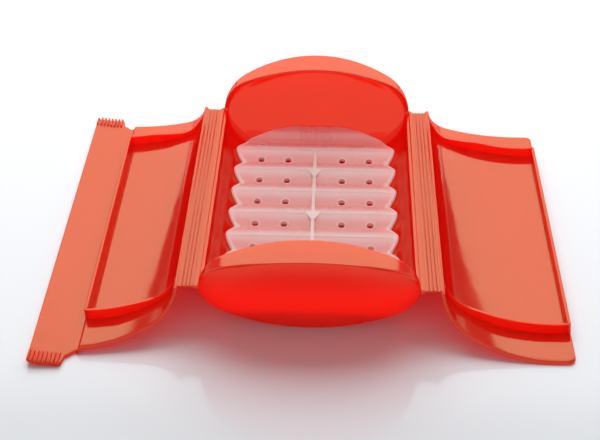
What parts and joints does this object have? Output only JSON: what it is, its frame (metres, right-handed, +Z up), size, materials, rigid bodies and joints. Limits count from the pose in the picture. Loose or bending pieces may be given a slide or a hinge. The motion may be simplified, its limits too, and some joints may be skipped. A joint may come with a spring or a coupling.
{
  "type": "steam cooking case",
  "caption": "Open moulded steam case: an oval trough with hooded ends, flap lids on ribbed living hinges, an overlapping closing strip and a corrugated lift-out draining tray.",
  "frame": {"origin": "middle of the flat base of the trough, on the surface it stands on", "axes": "+X across the case to the right flap, +Y along the hinge lines to the far hood, +Z up; the flaps lie open"},
  "size_m": [0.2688, 0.246, 0.0564],
  "materials": {
    "case_silicone": "satin moulded silicone, opaque red-orange",
    "tray_silicone": "satin moulded silicone, milky and translucent"
  },
  "bodies": {
    "case": {"trough": "case_silicone", "near_hood": "case_silicone", "far_hood": "case_silicone", "left_case_land": "case_silicone", "right_case_land": "case_silicone"},
    "left_rib_1_body": {"left_rib_1": "case_silicone"},
    "left_rib_2_body": {"left_rib_2": "case_silicone"},
    "left_rib_3_body": {"left_rib_3": "case_silicone"},
    "right_rib_1_body": {"right_rib_1": "case_silicone"},
    "right_rib_2_body": {"right_rib_2": "case_silicone"},
    "right_rib_3_body": {"right_rib_3": "case_silicone"},
    "left_flap": {"left_flap_skin": "case_silicone", "left_flap_land": "case_silicone", "left_flap_rim": "case_silicone", "closing_strip": "case_silicone", "near_grip": "case_silicone", "far_grip": "case_silicone"},
    "right_flap": {"right_flap_skin": "case_silicone", "right_flap_land": "case_silicone", "right_flap_rim": "case_silicone"},
    "tray": {"tray_deck": "tray_silicone", "tray_spine": "tray_silicone", "near_apron": "tray_silicone", "far_apron": "tray_silicone"}
  },
  "joints": [
    {"name": "left_fold_1", "type": "hinge", "parent": "case", "child": "left_rib_1_body", "pos_m": [-0.0582, 0, 0.02721], "axis": [0, 1, 0], "range_deg": [0, 44.39]},
    {"name": "left_fold_2", "type": "hinge", "parent": "left_rib_1_body", "child": "left_rib_2_body", "pos_m": [-0.0601, 0, 0.02721], "axis": [0, 1, 0], "range_deg": [0, 44.39]},
    {"name": "left_fold_3", "type": "hinge", "parent": "left_rib_2_body", "child": "left_rib_3_body", "pos_m": [-0.062, 0, 0.02721], "axis": [0, 1, 0], "range_deg": [0, 44.39]},
    {"name": "left_fold_4", "type": "hinge", "parent": "left_rib_3_body", "child": "left_flap", "pos_m": [-0.0639, 0, 0.02721], "axis": [0, 1, 0], "range_deg": [0, 44.39]},
    {"name": "right_fold_1", "type": "hinge", "parent": "case", "child": "right_rib_1_body", "pos_m": [0.0582, 0, 0.02721], "axis": [0, -1, 0], "range_deg": [0, 45]},
    {"name": "right_fold_2", "type": "hinge", "parent": "right_rib_1_body", "child": "right_rib_2_body", "pos_m": [0.0601, 0, 0.02721], "axis": [0, -1, 0], "range_deg": [0, 45]},
    {"name": "right_fold_3", "type": "hinge", "parent": "right_rib_2_body", "child": "right_rib_3_body", "pos_m": [0.062, 0, 0.02721], "axis": [0, -1, 0], "range_deg": [0, 45]},
    {"name": "right_fold_4", "type": "hinge", "parent": "right_rib_3_body", "child": "right_flap", "pos_m": [0.0639, 0, 0.02721], "axis": [0, -1, 0], "range_deg": [0, 45]},
    {"name": "tray_lift", "type": "slide", "parent": "case", "child": "tray", "axis": [0, 0, 1], "range_m": [0, 0.025]}
  ],
  "couplings": [
    {"joint": "left_fold_1", "follows": "left_fold_4", "ratio": 1},
    {"joint": "left_fold_2", "follows": "left_fold_4", "ratio": 1},
    {"joint": "left_fold_3", "follows": "left_fold_4", "ratio": 1},
    {"joint": "right_fold_1", "follows": "right_fold_4", "ratio": 1},
    {"joint": "right_fold_2", "follows": "right_fold_4", "ratio": 1},
    {"joint": "right_fold_3", "follows": "right_fold_4", "ratio": 1}
  ]
}
